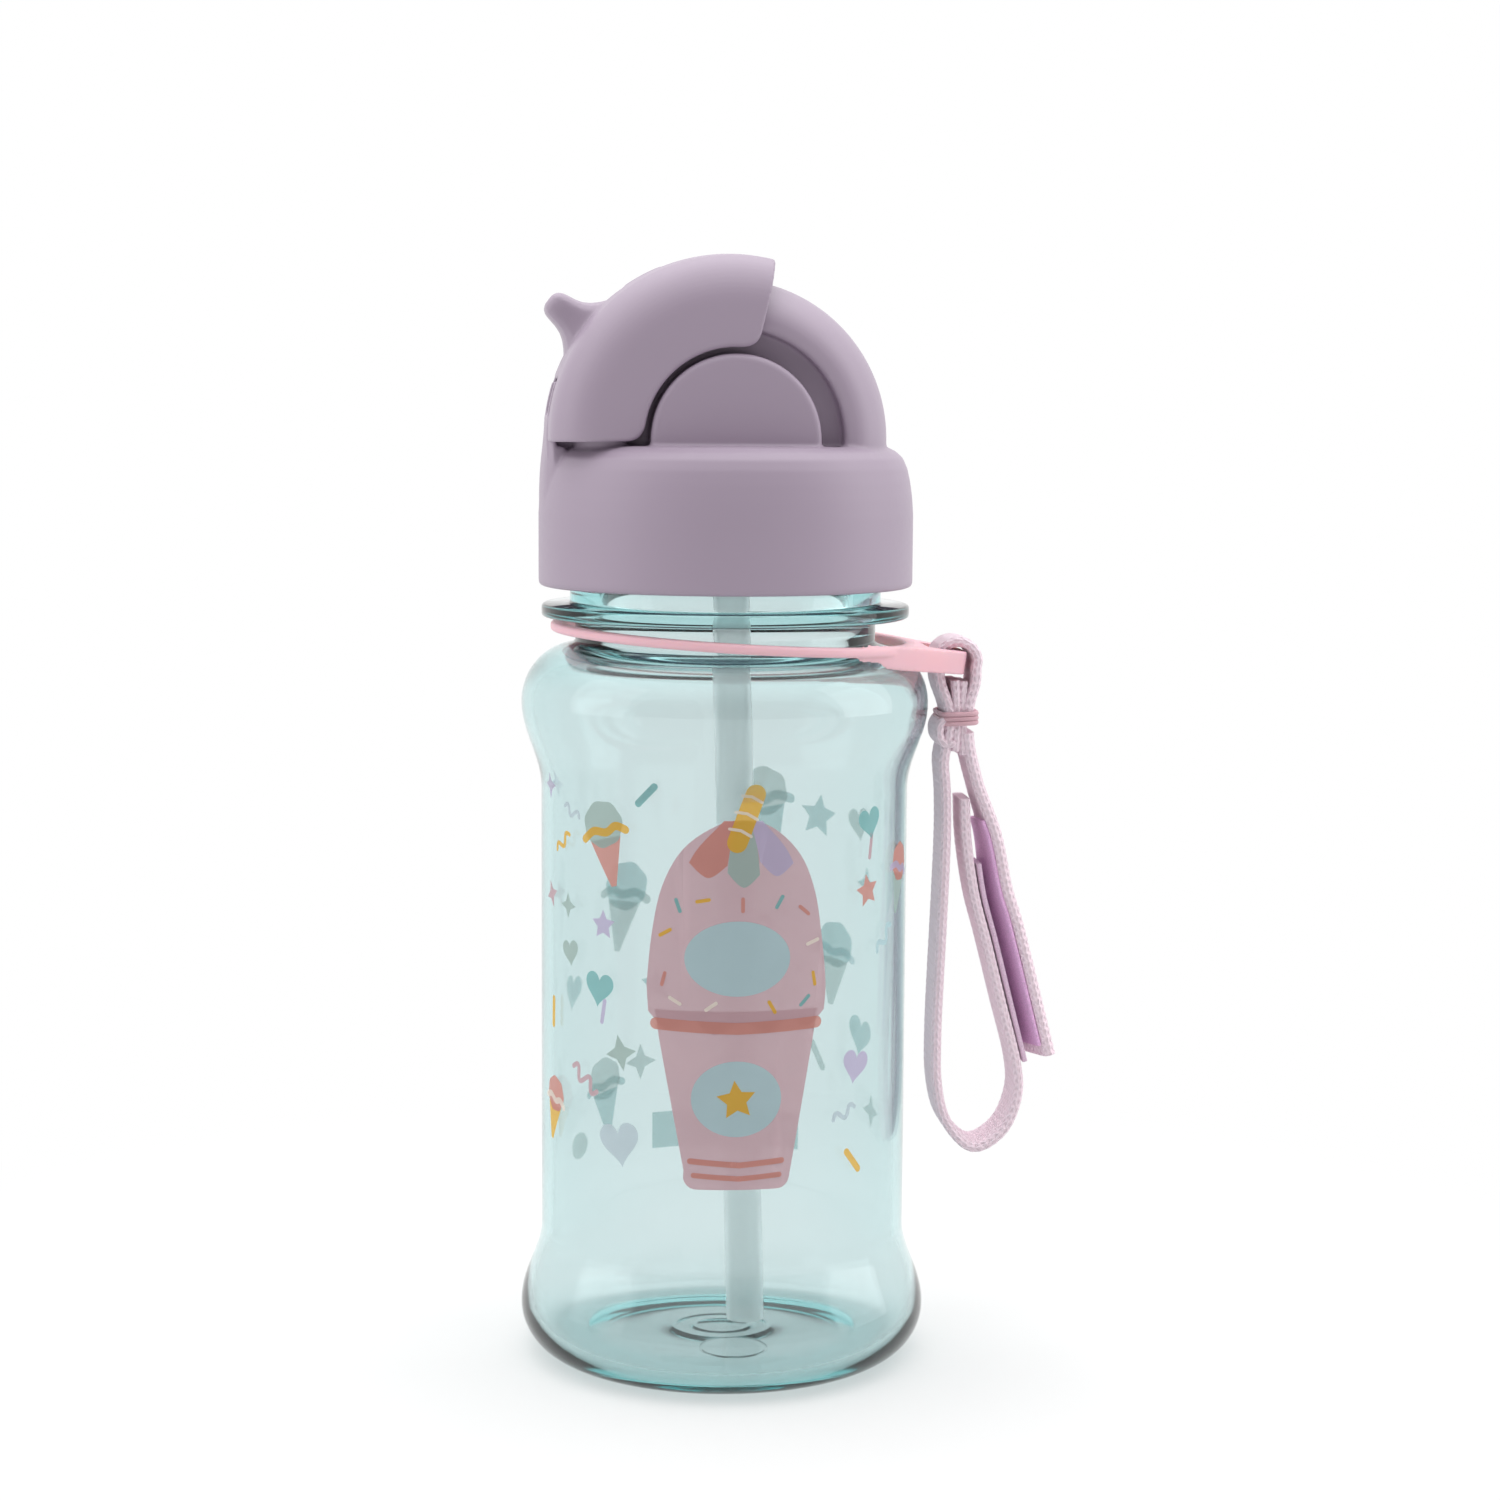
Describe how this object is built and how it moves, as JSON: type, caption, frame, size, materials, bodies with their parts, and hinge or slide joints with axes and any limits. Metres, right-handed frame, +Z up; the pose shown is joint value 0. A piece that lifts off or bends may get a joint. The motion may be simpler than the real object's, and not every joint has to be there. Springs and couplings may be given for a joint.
{
  "type": "kids water bottle",
  "caption": "Waisted clear drinking bottle with a screw lid, a turning domed cover over a folding spout and straw, and a wrist strap on a neck ring.",
  "frame": {"origin": "on the bottle's axis, in the plane it stands on", "axes": "+Z up along the bottle's axis; the cover's hinge line is along Y and the cover opens towards +X; the strap hangs at +X"},
  "size_m": [0.093, 0.071, 0.1915],
  "materials": {
    "clear_teal": "clear tinted gloss",
    "mauve": "satin",
    "mauve_insert": "satin",
    "clear_silicone": "soft milky",
    "seal_silicone": "soft milky",
    "straw_plastic": "milky",
    "pink_rubber": "soft matte",
    "pink_webbing": "ribbed webbing",
    "hook_lilac": "hook tape",
    "loop_pink": "loop tape",
    "thread_pink": "stitched band"
  },
  "bodies": {
    "bottle": {"bottle_body": "clear_teal"},
    "seal": {"lid_gasket": "seal_silicone"},
    "lid": {"lid_housing": "mauve", "lid_thread_insert": "mauve_insert", "spout_base": "clear_silicone", "spout_retainer": "mauve_insert", "straw": "straw_plastic", "vent_valve": "seal_silicone"},
    "cover": {"slide_cover": "mauve"},
    "spout": {"spout_tip": "clear_silicone"},
    "ring": {"strap_ring": "pink_rubber"},
    "strap": {"strap_webbing": "pink_webbing", "strap_keeper": "thread_pink", "loop_tape": "loop_pink"},
    "flap": {"strap_hook_leg": "pink_webbing", "hook_tape": "hook_lilac"}
  },
  "joints": [
    {"name": "lid_rise", "type": "slide", "parent": "bottle", "child": "seal", "axis": [0, 0, 1], "range_m": [0, 0.0075]},
    {"name": "lid_unscrew", "type": "hinge", "parent": "seal", "child": "lid", "pos_m": [0, 0, 0.14], "axis": [0, 0, 1], "range_deg": [0, 270]},
    {"name": "cover_turn", "type": "hinge", "parent": "lid", "child": "cover", "pos_m": [0, 0, 0.1603], "axis": [0, 1, 0], "range_deg": [0, 77]},
    {"name": "spout_flip", "type": "hinge", "parent": "lid", "child": "spout", "pos_m": [0.002, 0, 0.17], "axis": [0, 1, 0], "range_deg": [0, 65]},
    {"name": "strap_ring_turn", "type": "hinge", "parent": "bottle", "child": "ring", "pos_m": [0, 0, 0.1263], "axis": [0, 0, 1], "continuous": true},
    {"name": "strap_swing", "type": "hinge", "parent": "ring", "child": "strap", "pos_m": [0.0402, 0, 0.122], "axis": [0, -1, 0], "range_deg": [0, 110]},
    {"name": "strap_flap", "type": "hinge", "parent": "strap", "child": "flap", "pos_m": [0.042, 0, 0.11], "axis": [0, -1, 0], "range_deg": [0, 60]}
  ],
  "couplings": [
    {"joint": "lid_rise", "follows": "lid_unscrew", "m_per_rad": 0.0015915},
    {"joint": "spout_flip", "follows": "cover_turn", "ratio": 0.844}
  ]
}
